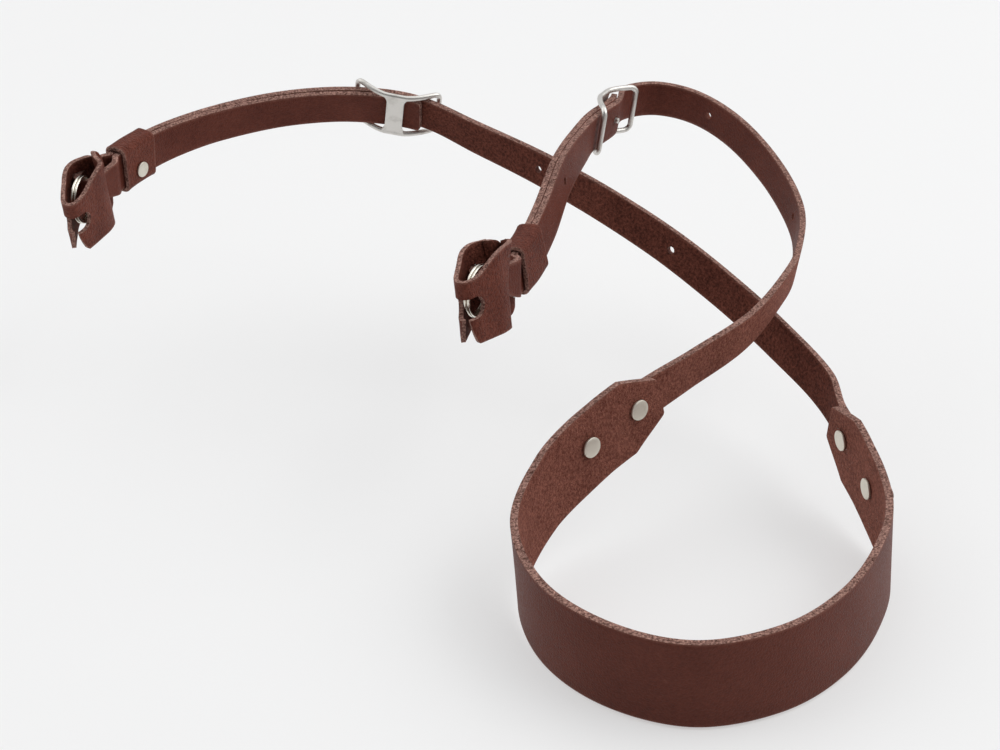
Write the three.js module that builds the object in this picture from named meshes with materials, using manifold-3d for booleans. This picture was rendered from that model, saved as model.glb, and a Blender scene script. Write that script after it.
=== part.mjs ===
// Camera neck strap: a shoulder pad, two slider-buckle straps, and their folded ends on split rings.
// Millimetres, +Z up. The origin is midway between the two eyelets that the split rings hang on.
// The strap stands on its lower edges, with both straps swept round in loops behind the pad.
import * as THREE from 'three';
import { mergeVertices } from 'three/addons/utils/BufferGeometryUtils.js';
import Module from 'manifold-3d';

const wasm = await Module();
wasm.setup();

// Driving dimensions.
const GAP = 0.3;
const PAD = { width: 25, thickness: 2.2, endWidth: 12.5, taper: 13, step: 4.5 };
const STRAP = { width: 12.5, thickness: 2, overlap: 36, neckWidth: 8, neckFrom: 2, neckTo: 14, corner: 1.5, step: 6 };
const RIVET = { capRadius: 3.1, capHeight: 0.8, shaftRadius: 1.2, boreRadius: 1.5, fromEnd: [9, 28.5], raised: 1 };
const HOLE = { radius: 1.3, sides: 12 };
const BUCKLE = {
  length: 31, railSpacing: 16.2, railRadius: 0.95, barRadius: 0.95, railFlat: 3, clearance: 0.7,
  plateLength: 6.2, plateThickness: 1.3, plateFillet: 1.8, prongRadius: 0.95, prongReach: 1.2,
};
const KEEPER = { length: 15.6, wall: 1.4, rivetRadius: 2.6, rivetHeight: 0.7, rivetDrop: 2.5, corner: 2.2 };
const RING = { radius: 7.3, wire: 1, pitch: 1.1, turns: 2, setback: 2 };
const LOOP = { spreadEnd: 4.5, halfGap: 3.5, cutFrom: 1 };
const GUARD = {
  thickness: 1.4, rest: 0.87, foldTop: 7, leftRise: [0, 22], rightRise: [4, 16], bottom: -12.3, sink: 0.12,
  bandBottom: 2.2, lobeCorner: 6, easeFrom: 4, notchTop: 1, notchBottom: 3, slotCentre: -1.6, slotRadius: 3.3, slotReach: 6.6,
};
const LAYER_STEP = STRAP.thickness + GAP;
const HALF_LAYERS = LAYER_STEP / 2;
const UP = new THREE.Vector3(0, 0, 1);

// Stations of the centrelines: place in millimetres, lean of the width off plumb in degrees,
// towards the right-hand side of the direction of travel.
const PAD_STATIONS = [
  { x: 120.3, y: -33, z: -24.6, lean: 4 },
  { x: 102.4, y: -48, z: -30.6, lean: 5 },
  { x: 87, y: -64, z: -39, lean: 5 },
  { x: 79, y: -85, z: -46, lean: 5 },
  { x: 84, y: -108, z: -49, lean: 3 },
  { x: 99, y: -127, z: -49, lean: 1 },
  { x: 121, y: -136, z: -49, lean: -1 },
  { x: 144, y: -130, z: -49, lean: -3 },
  { x: 162, y: -115, z: -49, lean: -5 },
  { x: 175, y: -94, z: -49, lean: -5 },
  { x: 182, y: -72, z: -49, lean: -4 },
  { x: 179, y: -49, z: -42, lean: -3 },
  { x: 173, y: -28, z: -36, lean: -5 },
];
const RIGHT_STATIONS = [
  { x: 131, y: -21, z: -22, lean: 5 },
  { x: 149, y: -6, z: -17, lean: 9 },
  { x: 162, y: 14, z: -13, lean: 10 },
  { x: 170, y: 36, z: -13, lean: 8 },
  { x: 174, y: 60, z: -9, lean: 5 },
  { x: 168, y: 81, z: 0, lean: 1 },
  { x: 156, y: 100, z: 9, lean: -3 },
  { x: 143, y: 114, z: 13, lean: -7 },
  { x: 130, y: 120, z: 14, lean: -9 },
  { x: 118, y: 112, z: 15, lean: -9 },
  { x: 114, y: 94, z: 16, lean: -8 },
  { x: 106, y: 79, z: 16, lean: -7 },
  { x: 102, y: 67, z: 16, lean: -1 },
  { x: 95, y: 45, z: 14, lean: 8 },
  { x: 89, y: 23, z: 7, lean: 10 },
  { x: 83, y: 4, z: 3, lean: 8 },
  { x: 79, y: -5, z: 2, lean: 6 },
];
const LEFT_STATIONS = [
  { x: 173, y: -14, z: -33, lean: 8 },
  { x: 162, y: 9, z: -28, lean: 11 },
  { x: 147, y: 28, z: -20, lean: 8 },
  { x: 128, y: 44, z: -10, lean: 5 },
  { x: 108, y: 60, z: -2, lean: 3 },
  { x: 87, y: 77, z: 4, lean: -4 },
  { x: 66, y: 92, z: 9.2, lean: -12 },
  { x: 45, y: 104.2, z: 14.8, lean: -20 },
  { x: 23, y: 106, z: 17.2, lean: -21 },
  { x: -3, y: 104, z: 16.2, lean: -20 },
  { x: -25, y: 95, z: 14, lean: -15 },
  { x: -41, y: 82, z: 12, lean: -9 },
  { x: -50, y: 67, z: 11, lean: -4 },
  { x: -54, y: 59, z: 10, lean: -4 },
];

// What each strap carries, in millimetres back from the keeper's mouth, where the strap opens into its loop.
// side: where the return layer lies, +1 right-hand or -1 left-hand of the main layer.
// wire: where the split ring's wire crosses the strap's loop; heading: of the ring guard from there, in degrees
// from +X; ring: the way the split ring hangs, in degrees; turn: how far the buckle sits askew, in degrees.
const RIGHT = {
  side: 1, keeper: 1, prong: 104.5, holes: [50, 163, 220], returnLength: 114,
  wire: { x: 70, y: -20, z: 6 }, heading: -111, ring: { heading: -117, pitch: 6 },
  guard: { tip: -14, corner: 8.5, left: 10.4, right: 10.8, fall: 0, ease: 1.35 },
  turn: 0,
};
const LEFT = {
  side: -1, keeper: 1, prong: 112.1, holes: [172, 229], returnLength: 122,
  wire: { x: -59, y: 45, z: 9.5 }, heading: -97, ring: { heading: -103, pitch: 18 },
  guard: { tip: -8.6, corner: 4.5, left: 8, right: 10.5, fall: 0.3, ease: 1 },
  turn: -2,
};

// A ring guard's bend, seen from above: along the loop's axis from the ring's wire, and out from it to each side.
// Each end's guard has its own tip, the heights of its two halves and its fall for each millimetre of its axis.
// ease: how much farther the right half runs while it bends in.
const GUARD_BEND = [
  { along: -6.5, left: 0.95, right: 0.95 },
  { along: -4.5, left: 2.2, right: 2.2 },
  { along: -2, left: 4.6, right: 4.6 },
  { along: 0.5, left: 5.7, right: 5.7 },
  { along: 4, left: 5.4, right: 5.5 },
  { along: 8, left: 4.4, right: 4.3 },
  { along: 12, left: 3.4, right: 3.1 },
  { along: 15, left: 2.5, right: 2 },
  { along: 16.4, left: 1.4, right: 1 },
  { along: 16.8, left: 0, right: 0 },
];

const LEATHER = { color: 0x6b4840, roughness: 0.62, metalness: 0 };
const STEEL = { color: 0xc9c7c2, roughness: 0.3, metalness: 1 };

// A closed mesh as a solid for cutting and joining.
function solid(geometry) {
  const bare = geometry.clone();
  bare.deleteAttribute('normal');
  bare.deleteAttribute('uv');
  const merged = mergeVertices(bare, 1e-5);
  return new wasm.Manifold(new wasm.Mesh({
    numProp: 3,
    vertProperties: new Float32Array(merged.attributes.position.array),
    triVerts: new Uint32Array(merged.index.array),
  }));
}

function meshOf(name, body, look) {
  const result = body.getMesh();
  const geometry = new THREE.BufferGeometry();
  geometry.setAttribute('position', new THREE.BufferAttribute(Float32Array.from(result.vertProperties), 3));
  geometry.setIndex(new THREE.BufferAttribute(Uint32Array.from(result.triVerts), 1));
  geometry.computeVertexNormals();
  const mesh = new THREE.Mesh(geometry, new THREE.MeshStandardMaterial(look));
  mesh.name = name;
  return mesh;
}

// A section of a strip: its place, the way it runs, its width direction and its face direction.
function section(place, along, across) {
  const width = across.clone().addScaledVector(along, -across.dot(along)).normalize();
  return { place, along, across: width, face: along.clone().cross(width) };
}

function leaningSection(place, along, leanDegrees) {
  const plumb = section(place, along, UP);
  const lean = THREE.MathUtils.degToRad(leanDegrees);
  const across = plumb.across.clone().multiplyScalar(Math.cos(lean)).addScaledVector(plumb.face, Math.sin(lean));
  return section(place, along, across);
}

// A smooth route through stations; at(s) gives the section s millimetres from its start.
function routeThrough(stations) {
  const centre = new THREE.CatmullRomCurve3(stations.map((s) => new THREE.Vector3(s.x, s.y, s.z)));
  const leans = new THREE.CatmullRomCurve3(stations.map((s) => new THREE.Vector3(s.lean, 0, 0)));
  centre.arcLengthDivisions = 600;
  const length = centre.getLength();
  const at = (s) => {
    const u = THREE.MathUtils.clamp(s / length, 0, 1);
    const lean = leans.getPoint(centre.getUtoTmapping(u)).x;
    return leaningSection(centre.getPointAt(u), centre.getTangentAt(u), lean);
  };
  return { at, length };
}

function inset(s, across, face) {
  return s.place.clone().addScaledVector(s.across, across).addScaledVector(s.face, face);
}

// A solid swept through sections. Each outline is a convex ring of [across, face] points.
function sweep(sections, outlines) {
  const count = outlines[0].length;
  const points = [];
  const index = [];
  sections.forEach((s, i) => outlines[i].forEach(([across, face]) => points.push(...inset(s, across, face))));
  for (let i = 0; i + 1 < sections.length; i += 1) {
    for (let j = 0; j < count; j += 1) {
      const a = i * count + j;
      const b = i * count + (j + 1) % count;
      index.push(a, b, b + count, a, b + count, a + count);
    }
  }
  const last = (sections.length - 1) * count;
  for (let j = 1; j + 1 < count; j += 1) {
    index.push(0, j + 1, j, last, last + j, last + j + 1);
  }
  const geometry = new THREE.BufferGeometry();
  geometry.setAttribute('position', new THREE.Float32BufferAttribute(points, 3));
  geometry.setIndex(index);
  return solid(geometry);
}

function bar(bottom, top, thickness) {
  const half = thickness / 2;
  return [[bottom, -half], [top, -half], [top, half], [bottom, half]];
}

function stops(from, to, step) {
  const count = Math.max(1, Math.round(Math.abs(to - from) / step));
  return Array.from({ length: count + 1 }, (_, i) => from + (to - from) * i / count);
}

// The turn that lays local X along the strap, local Y across it and local Z along its face.
function placeAt(s, geometry) {
  const axes = new THREE.Matrix4().makeBasis(s.along, s.across, s.face).setPosition(s.place);
  return geometry.applyMatrix4(axes);
}

function drill(s, radius, depth) {
  const tool = new THREE.CylinderGeometry(radius, radius, depth, HOLE.sides).rotateX(Math.PI / 2);
  return solid(placeAt(s, tool));
}

function roundCorner(fromEdge, radius) {
  const inside = THREE.MathUtils.clamp(radius - fromEdge, 0, radius);
  return radius - Math.sqrt(radius * radius - inside * inside);
}

function smooth(t) {
  return THREE.MathUtils.smoothstep(t, 0, 1);
}

function padSolid(pad) {
  const places = [0, 1, 5, 9, PAD.taper];
  const places2 = places.map((s) => pad.length - s).reverse();
  const sections = [...places, ...stops(PAD.taper, pad.length - PAD.taper, PAD.step).slice(1, -1), ...places2];
  const outlines = sections.map((s) => {
    const fromEnd = Math.min(s, pad.length - s);
    const width = THREE.MathUtils.lerp(PAD.endWidth, PAD.width, Math.min(1, fromEnd / PAD.taper));
    return bar(-width / 2, width / 2, PAD.thickness);
  });
  return sweep(sections.map(pad.at), outlines);
}

// The strap's route starts on the pad's outer face and runs over the pad's end into its own stations.
function strapRoute(pad, fromStart, stations) {
  const offset = (PAD.thickness + STRAP.thickness) / 2 + GAP;
  const onPad = stops(STRAP.overlap, 2, 11).map((s) => {
    const under = pad.at(fromStart ? s : pad.length - s);
    const place = inset(under, 0, offset);
    const tilt = THREE.MathUtils.radToDeg(Math.asin(-under.face.z));
    return { x: place.x, y: place.y, z: place.z, lean: fromStart ? -tilt : tilt };
  });
  return routeThrough([...onPad, ...stations]);
}

// The middle line of the loop, from the keeper's mouth towards the split ring and past it.
function loopAxis(route, end) {
  const mouth = route.at(route.length);
  const start = inset(mouth, 0, end.side * HALF_LAYERS);
  const heading = THREE.MathUtils.degToRad(end.heading);
  const turned = new THREE.Vector3(Math.cos(heading), Math.sin(heading), 0);
  const wire = new THREE.Vector3(end.wire.x, end.wire.y, end.wire.z);
  const toWire = start.distanceTo(wire);
  const first = start.clone().addScaledVector(mouth.along, toWire / 3);
  const second = wire.clone().addScaledVector(turned, -toWire / 3);
  const curve = new THREE.CubicBezierCurve3(start, first, second, wire);
  curve.arcLengthDivisions = 400;
  const length = curve.getLength();
  const at = (p) => {
    if (p <= length) return section(curve.getPointAt(p / length), curve.getTangentAt(p / length), mouth.across);
    return section(wire.clone().addScaledVector(turned, p - length), turned.clone(), mouth.across);
  };
  return { at, side: end.side, wire: length, height: wire.z };
}

// A section of a strip that runs beside the loop's axis: p along it, q towards the return layer.
function besideAxis(axis, p, q, slope) {
  const s = axis.at(p);
  const place = inset(s, 0, axis.side * q);
  const along = s.along.clone().addScaledVector(s.face, axis.side * slope).normalize();
  return section(place, along, s.across);
}

function loopHalfGap(p) {
  return THREE.MathUtils.lerp(HALF_LAYERS, LOOP.halfGap, smooth(p / LOOP.spreadEnd));
}

// The stretch of the strap that leaves the keeper, bends round the ring's wire and comes back.
function loopSections(axis) {
  const outward = [...stops(0.4, 5.4, 1), ...stops(7.5, axis.wire, 2.4)];
  const slope = (p) => (loopHalfGap(p + 0.1) - loopHalfGap(p - 0.1)) / 0.2;
  const main = outward.map((p) => ({ at: besideAxis(axis, p, -loopHalfGap(p), -slope(p)), p }));
  const back = outward.map((p) => ({ at: reversed(besideAxis(axis, p, loopHalfGap(p), slope(p))), p })).reverse();
  const round = stops(-75, 75, 15).map((degrees) => {
    const turn = THREE.MathUtils.degToRad(degrees);
    const p = axis.wire + LOOP.halfGap * Math.cos(turn);
    const here = besideAxis(axis, p, LOOP.halfGap * Math.sin(turn), 0);
    const along = here.along.clone().multiplyScalar(-Math.sin(turn))
      .addScaledVector(here.face, axis.side * Math.cos(turn));
    return { at: section(here.place, along, here.across), p };
  });
  return [...main, ...round, ...back];
}

function reversed(s) {
  return section(s.place, s.along.clone().negate(), s.across);
}

function neckWidth(p) {
  const share = THREE.MathUtils.clamp((p - STRAP.neckFrom) / (STRAP.neckTo - STRAP.neckFrom), 0, 1);
  return THREE.MathUtils.lerp(STRAP.width, STRAP.neckWidth, share);
}

// One strip: main layer, loop, return layer. extra widens it and thickens it, for cutting slits.
function strapSolid(route, axis, end) {
  const tip = route.length - end.returnLength;
  const offset = end.side * LAYER_STEP;
  const ended = (s) => STRAP.width / 2 - roundCorner(s, STRAP.corner);
  const tipStops = [0, 0.3, 0.8, 1.5];
  const mainStops = [...tipStops, ...stops(STRAP.step, route.length, STRAP.step)];
  const backStops = [...tipStops, ...stops(STRAP.step, end.returnLength, STRAP.step)].map((s) => tip + s);
  const main = mainStops.map((s) => ({ at: route.at(s), half: ended(s) }));
  const loop = loopSections(axis).map(({ at, p }) => ({ at, half: neckWidth(p) / 2 }));
  const back = backStops.reverse().map((s) => {
    const under = route.at(s);
    const above = section(inset(under, 0, offset), under.along, under.across);
    return { at: reversed(above), half: ended(s - tip) };
  });
  const all = [...main, ...loop, ...back];
  return sweep(all.map((s) => s.at), all.map((s) => bar(-s.half, s.half, STRAP.thickness)));
}

function neckCutter(axis) {
  const grow = 2 * GAP;
  const inside = loopSections(axis).filter(({ p }) => p > LOOP.cutFrom);
  const outlines = inside.map(({ p }) => {
    const half = neckWidth(p) / 2 + GAP;
    return bar(-half, half, STRAP.thickness + grow);
  });
  return sweep(inside.map((s) => s.at), outlines);
}

function boredStrap(route, axis, end, bores) {
  let body = strapSolid(route, axis, end);
  [end.prong, ...end.holes].forEach((back) => {
    const depth = 4 * STRAP.thickness;
    const middle = route.at(route.length - back);
    body = body.subtract(drill(middle, HOLE.radius, 2 * depth));
  });
  bores.forEach((bore) => { body = body.subtract(bore); });
  return body;
}

// Places of a pad's two rivets at one end, on the middle plane between pad and strap.
function padRivetPlaces(pad, fromStart) {
  return RIVET.fromEnd.map((s) => {
    const under = pad.at(fromStart ? s : pad.length - s);
    return section(inset(under, RIVET.raised, HALF_LAYERS), under.along, under.across);
  });
}

function capProfile(shaftRadius, capRadius, capHeight, grip) {
  const face = grip / 2;
  const bevel = 0.35;
  return [
    [0, -face - capHeight], [capRadius - bevel, -face - capHeight + 0.15], [capRadius, -face - capHeight + 0.5],
    [capRadius, -face], [shaftRadius, -face], [shaftRadius, face], [capRadius, face],
    [capRadius, face + capHeight - 0.5], [capRadius - bevel, face + capHeight - 0.15], [0, face + capHeight],
  ].map(([r, z]) => new THREE.Vector2(r, z));
}

function padRivetSolid(place) {
  const grip = PAD.thickness + STRAP.thickness + 3 * GAP;
  const profile = capProfile(RIVET.shaftRadius, RIVET.capRadius, RIVET.capHeight, grip);
  return solid(placeAt(place, new THREE.LatheGeometry(profile, 14).rotateX(Math.PI / 2)));
}

// A cast buckle in its own frame: X along the strap, Y across, Z towards the plate's side. sag is how far the
// strap has bent towards the plate's side where it crosses the end bars.
function buckleSolid(place, sag) {
  const halfLength = BUCKLE.length / 2 - BUCKLE.barRadius;
  const halfStrap = STRAP.thickness + GAP / 2;
  const barHeight = sag - (halfStrap + BUCKLE.clearance + BUCKLE.barRadius);
  const plateHeight = halfStrap + BUCKLE.clearance + BUCKLE.plateThickness / 2;
  const railY = BUCKLE.railSpacing / 2;
  const pieces = [buckleProng(plateHeight, halfStrap)];
  [-1, 1].forEach((side) => {
    const points = stops(-halfLength, halfLength, 2.4).map((x) => {
      const down = Math.max(0, (Math.abs(x) - BUCKLE.railFlat) / (halfLength - BUCKLE.railFlat)) ** 1.5;
      return new THREE.Vector3(x, side * railY, THREE.MathUtils.lerp(plateHeight, barHeight, down));
    });
    const wire = new THREE.Shape().absarc(0, 0, BUCKLE.railRadius, 0, 2 * Math.PI);
    const path = new THREE.CatmullRomCurve3(points);
    pieces.push(new THREE.ExtrudeGeometry(wire, { steps: 12, curveSegments: 4, extrudePath: path }));
    const rod = new THREE.CylinderGeometry(BUCKLE.barRadius, BUCKLE.barRadius, BUCKLE.railSpacing, 10);
    pieces.push(rod.translate(side * halfLength, 0, barHeight));
    [-1, 1].forEach((end) => {
      const knuckle = new THREE.SphereGeometry(BUCKLE.barRadius, 8, 6);
      pieces.push(knuckle.translate(side * halfLength, end * railY, barHeight));
    });
  });
  const axes = new THREE.Matrix4().makeBasis(place.along, place.across, place.face).setPosition(place.place);
  const plate = solid(bucklePlate(plateHeight, railY));
  return pieces.reduce((body, piece) => body.add(solid(piece)), plate).transform(axes.elements);
}

// The wide middle plate, with its corners filleted into the rails.
function bucklePlate(height, railY) {
  const half = BUCKLE.plateLength / 2;
  const fillet = BUCKLE.plateFillet;
  const outline = new THREE.Shape();
  outline.moveTo(-half - fillet, -railY).lineTo(half + fillet, -railY);
  outline.absarc(half + fillet, -railY + 2 * fillet, fillet, -Math.PI / 2, -Math.PI, true);
  outline.absarc(half + fillet, railY - 2 * fillet, fillet, Math.PI, Math.PI / 2, true);
  outline.lineTo(half + fillet, railY).lineTo(-half - fillet, railY);
  outline.absarc(-half - fillet, railY - 2 * fillet, fillet, Math.PI / 2, 0, true);
  outline.absarc(-half - fillet, -railY + 2 * fillet, fillet, 0, -Math.PI / 2, true);
  const options = { depth: BUCKLE.plateThickness, curveSegments: 4, bevelEnabled: false };
  return new THREE.ExtrudeGeometry(outline, options).translate(0, 0, height - BUCKLE.plateThickness / 2);
}

function buckleProng(plateHeight, halfStrap) {
  const length = plateHeight + halfStrap + BUCKLE.prongReach;
  const prong = new THREE.CylinderGeometry(BUCKLE.prongRadius, BUCKLE.prongRadius * 0.7, length, 10);
  return prong.rotateX(Math.PI / 2).translate(0, 0, plateHeight - length / 2);
}

// The middle of the doubled strap, s millimetres along the route, facing the return layer's side.
function doubledMiddle(route, end, s) {
  const main = route.at(s);
  const place = inset(main, 0, end.side * HALF_LAYERS);
  const along = main.along.clone().multiplyScalar(end.side);
  return section(place, along, main.across);
}

// A buckle sits a little askew on its strap: end.turn degrees about its prong.
function bucklePlace(route, end) {
  const middle = doubledMiddle(route, end, route.length - end.prong);
  const turn = THREE.MathUtils.degToRad(end.turn);
  return section(
    middle.place,
    middle.along.clone().applyAxisAngle(middle.face, turn),
    middle.across.clone().applyAxisAngle(middle.face, turn),
  );
}

function buckleSag(route, end) {
  const s = route.length - end.prong;
  const middle = doubledMiddle(route, end, s);
  const reach = BUCKLE.length / 2 - BUCKLE.barRadius;
  const heights = [-reach, reach].map((step) => {
    const away = doubledMiddle(route, end, s + step).place.sub(middle.place);
    return away.dot(middle.face);
  });
  return Math.min(...heights);
}

function roundedBand(halfAcross, halfFace, corner) {
  const points = [];
  [[1, 1], [-1, 1], [-1, -1], [1, -1]].forEach(([signA, signF], quarter) => {
    for (let k = 0; k <= 2; k += 1) {
      const turn = (quarter + k / 2) * Math.PI / 2;
      const a = signA * (halfAcross - corner) + corner * Math.cos(turn);
      const f = signF * (halfFace - corner) + corner * Math.sin(turn);
      points.push([a, f]);
    }
  });
  return points;
}

function keeperSpan(route, end) {
  const to = route.length - end.keeper;
  return { from: to - KEEPER.length, to };
}

function keeperRivetPlace(route, end) {
  const { from, to } = keeperSpan(route, end);
  const middle = doubledMiddle(route, end, (from + to) / 2);
  const innerFace = STRAP.thickness + GAP / 2 + GAP;
  return section(inset(middle, -KEEPER.rivetDrop, innerFace + KEEPER.wall / 2), middle.along, middle.across);
}

function keeperSolid(route, end) {
  const { from, to } = keeperSpan(route, end);
  const innerAcross = STRAP.width / 2 + GAP;
  const innerFace = STRAP.thickness + GAP / 2 + GAP;
  const outer = roundedBand(innerAcross + KEEPER.wall, innerFace + KEEPER.wall, KEEPER.corner);
  const inner = roundedBand(innerAcross, innerFace, KEEPER.corner - KEEPER.wall);
  const middle = (s) => section(inset(route.at(s), 0, end.side * HALF_LAYERS), route.at(s).along, route.at(s).across);
  const spans = stops(from, to, 3).map(middle);
  const bore = [middle(from - 1), ...spans, middle(to + 0.9)];
  const rivetHole = drill(keeperRivetPlace(route, end), RIVET.boreRadius, KEEPER.wall + 1);
  return sweep(spans, spans.map(() => outer)).subtract(sweep(bore, bore.map(() => inner))).subtract(rivetHole);
}

function keeperRivetSolid(route, end) {
  const seat = KEEPER.wall / 2 + GAP;
  const profile = [
    [0, -KEEPER.wall / 2], [RIVET.shaftRadius, -KEEPER.wall / 2], [RIVET.shaftRadius, seat],
    [KEEPER.rivetRadius, seat], [KEEPER.rivetRadius, seat + 0.4],
    [KEEPER.rivetRadius - 0.4, seat + KEEPER.rivetHeight - 0.1], [0, seat + KEEPER.rivetHeight],
  ].map(([r, z]) => new THREE.Vector2(r, z));
  const lathe = new THREE.LatheGeometry(profile, 16).rotateX(Math.PI / 2);
  return solid(placeAt(keeperRivetPlace(route, end), lathe));
}

// Heights of a guard's upper and lower edges, by the distance from the fold along the leather.
function guardTop({ fromFold, length, side }, guard) {
  const [riseFrom, riseTo] = side > 0 ? GUARD.leftRise : GUARD.rightRise;
  const rise = smooth((fromFold - riseFrom) / (riseTo - riseFrom));
  const horn = side > 0 ? guard.left : guard.right;
  return THREE.MathUtils.lerp(GUARD.foldTop, horn, rise) - roundCorner(length - fromFold, guard.corner);
}

function guardBottom({ fromFold, length }) {
  if (fromFold < GUARD.notchTop) return GUARD.bandBottom;
  const lobe = THREE.MathUtils.clamp((fromFold - GUARD.notchTop) / (GUARD.notchBottom - GUARD.notchTop), 0, 1);
  const low = GUARD.bottom - GUARD.sink * fromFold;
  const edge = THREE.MathUtils.lerp(GUARD.slotCentre - GUARD.slotRadius, low, Math.sqrt(lobe));
  return edge + roundCorner(length - fromFold, GUARD.lobeCorner);
}

function guardHalf(axis, guard, side) {
  const eased = (along) => Math.max(along, GUARD.easeFrom) + Math.min(0, along - GUARD.easeFrom) * guard.ease;
  const row = (s) => new THREE.Vector2(side > 0 ? s.along : eased(s.along), side > 0 ? s.left : s.right);
  const tip = new THREE.Vector2(guard.tip, GUARD.rest);
  const bend = new THREE.SplineCurve([tip, ...GUARD_BEND.map(row)]);
  const length = bend.getLength();
  const nearTip = [0, 0.8, 1.8, 3, 4.5, 6.5];
  const nearFold = [6.6, 6, 5, 3.6, 2.6, GUARD.notchTop + 0.1, GUARD.notchTop - 0.1, 0];
  const places = [...nearTip, ...stops(8.5, length - 9, 2), ...nearFold.map((back) => length - back)];
  return places.map((s) => {
    const point = bend.getPointAt(s / length);
    const run = bend.getTangentAt(s / length);
    const base = axis.at(axis.wire + point.x);
    const place = inset(base, 0, side * point.y);
    place.z += axis.height - base.place.z - guard.fall * point.x;
    const forward = base.along.clone().setZ(-guard.fall);
    const along = forward.multiplyScalar(run.x).addScaledVector(base.face, side * run.y);
    const across = base.across.clone().addScaledVector(base.along, guard.fall);
    return { place, along: along.normalize(), across, fromFold: length - s, length, side };
  });
}

// The guard's sections, from the tip of its left half round the fold to the tip of its right half.
function guardSections(axis, guard) {
  const left = guardHalf(axis, guard, 1);
  const right = guardHalf(axis, guard, -1).slice(0, -1).reverse();
  right.forEach((s) => s.along.negate());
  return [...left, ...right].map((s) => ({ ...s, at: section(s.place, s.along, s.across) }));
}

// A guard is cut from one patch, so its largest piece is kept without the slivers of the cut.
function guardSolid(axis, guard) {
  const sections = guardSections(axis, guard);
  const outlines = sections.map((s) => bar(guardBottom(s), guardTop(s, guard), GUARD.thickness));
  const patch = sweep(sections.map((s) => s.at), outlines);
  const slot = sections.filter((s) => s.fromFold < GUARD.slotReach);
  const slotOutlines = slot.map(({ fromFold }) => {
    const past = Math.max(0, fromFold - (GUARD.slotReach - GUARD.slotRadius));
    const half = Math.max(0.2, Math.sqrt(Math.max(0, GUARD.slotRadius ** 2 - past ** 2)));
    return bar(GUARD.slotCentre - half, GUARD.slotCentre + half, GUARD.thickness + 1);
  });
  const cut = patch.subtract(sweep(slot.map((s) => s.at), slotOutlines)).subtract(neckCutter(axis));
  return cut.decompose().reduce((best, piece) => (piece.volume() > best.volume() ? piece : best));
}

// A split ring: a close helix of wire, upright in the plane of the loop's axis.
function ringSolid(end) {
  const wire = new THREE.Vector3(end.wire.x, end.wire.y, end.wire.z);
  const heading = THREE.MathUtils.degToRad(end.ring.heading);
  const pitch = THREE.MathUtils.degToRad(end.ring.pitch);
  const level = new THREE.Vector3(Math.cos(heading), Math.sin(heading), 0);
  const centre = wire.addScaledVector(level, RING.radius * Math.cos(pitch) - RING.setback);
  centre.z -= RING.radius * Math.sin(pitch);
  const sideways = UP.clone().cross(level);
  const points = stops(0, RING.turns * 360, 20).map((degrees) => {
    const turn = THREE.MathUtils.degToRad(degrees - 90);
    const shift = (degrees / 360 - RING.turns / 2) * RING.pitch;
    return centre.clone().addScaledVector(level, -RING.radius * Math.cos(turn))
      .addScaledVector(UP, RING.radius * Math.sin(turn)).addScaledVector(sideways, shift);
  });
  const sections = points.map((place, i) => {
    const from = points[Math.max(0, i - 1)];
    const to = points[Math.min(points.length - 1, i + 1)];
    return section(place, to.clone().sub(from).normalize(), sideways);
  });
  const radius = RING.wire / 2;
  const round = Array.from({ length: 6 }, (_, k) => {
    const turn = k * Math.PI / 3;
    return [radius * Math.cos(turn), radius * Math.sin(turn)];
  });
  return sweep(sections, sections.map(() => round));
}

const strap = new THREE.Group();
strap.name = 'camera_neck_strap';
const pad = routeThrough(PAD_STATIONS);
const ends = [
  { label: 'left', end: LEFT, fromStart: false, stations: LEFT_STATIONS },
  { label: 'right', end: RIGHT, fromStart: true, stations: RIGHT_STATIONS },
];

let padBody = padSolid(pad);
ends.forEach(({ label, end, fromStart, stations }) => {
  const route = strapRoute(pad, fromStart, stations);
  const axis = loopAxis(route, end);
  const rivetPlaces = padRivetPlaces(pad, fromStart);
  const bores = rivetPlaces.map((place) => drill(place, RIVET.boreRadius, 3 * PAD.thickness));
  bores.forEach((bore) => { padBody = padBody.subtract(bore); });
  rivetPlaces.forEach((place, i) => {
    strap.add(meshOf(`pad_rivet_${label}_${i === 0 ? 'outer' : 'inner'}`, padRivetSolid(place), STEEL));
  });
  strap.add(meshOf(`strap_${label}`, boredStrap(route, axis, end, bores), LEATHER));
  const buckle = buckleSolid(bucklePlace(route, end), buckleSag(route, end));
  strap.add(meshOf(`buckle_${label}`, buckle, STEEL));
  strap.add(meshOf(`keeper_${label}`, keeperSolid(route, end), LEATHER));
  strap.add(meshOf(`keeper_rivet_${label}`, keeperRivetSolid(route, end), STEEL));
  strap.add(meshOf(`ring_guard_${label}`, guardSolid(axis, end.guard), LEATHER));
  strap.add(meshOf(`split_ring_${label}`, ringSolid(end), STEEL));
});
strap.add(meshOf('shoulder_pad', padBody, LEATHER));

export default strap;
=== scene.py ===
# %% [markdown]
# # A worn leather neck strap
# The strap has a wide pad, two narrow straps that fold back through slider buckles, and split rings in leather
# guards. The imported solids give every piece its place. This lesson dresses them: each piece is cut flat, laid
# along the same line as its solid, and given its thickness, its rounded edges and its finish.

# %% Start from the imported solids
import math

import bpy
import numpy as np
from mathutils import Euler, Matrix, Vector, noise


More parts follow.
